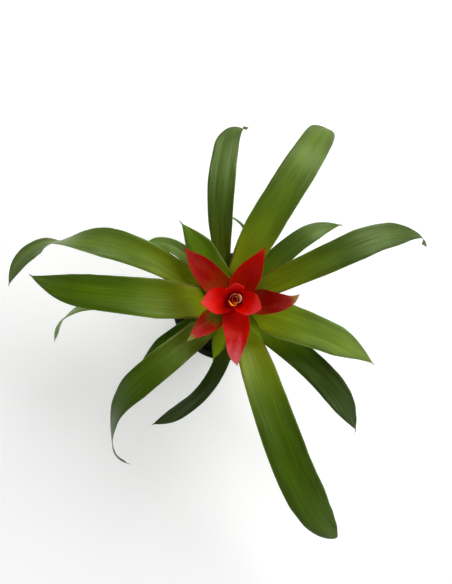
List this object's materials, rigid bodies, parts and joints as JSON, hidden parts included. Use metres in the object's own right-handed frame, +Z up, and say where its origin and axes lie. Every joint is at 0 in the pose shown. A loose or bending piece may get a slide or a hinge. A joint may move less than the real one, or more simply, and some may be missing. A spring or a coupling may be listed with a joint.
{
  "type": "potted guzmania plant",
  "caption": "Potted bromeliad with arching strap leaves round a short flower stem with a red star of bracts, standing in a round thin-walled nursery pot.",
  "frame": {"origin": "middle of the pot's flat underside, on the surface that it stands on", "axes": "+Z straight up from the pot's underside, -Z down to the surface it stands on, +X to the right and +Y to the back of the plant as it is seen from above"},
  "size_m": [0.388, 0.368, 0.203],
  "materials": {
    "pot_plastic": "satin black moulded plastic",
    "soil": "matt crumbly peat mix",
    "stem": "satin pale green plant tissue",
    "leaf": "satin green leaf with fine lengthwise veins",
    "stem_leaf": "satin light green leaf",
    "bract": "waxy red bract",
    "floret": "satin orange petal"
  },
  "bodies": {
    "root": {"pot": "pot_plastic", "soil": "soil", "stem": "stem", "leaf_01": "leaf", "leaf_02": "leaf", "leaf_03": "leaf", "leaf_04": "leaf", "leaf_05": "leaf", "leaf_06": "leaf", "leaf_07": "leaf", "leaf_08": "leaf", "leaf_09": "leaf", "leaf_10": "leaf", "leaf_11": "leaf", "leaf_12": "leaf", "leaf_13": "leaf", "leaf_14": "leaf", "leaf_15": "leaf", "leaf_16": "leaf", "stem_leaf_1": "stem_leaf", "stem_leaf_2": "stem_leaf", "bloom": "bract", "florets": "floret"}
  },
  "joints": []
}
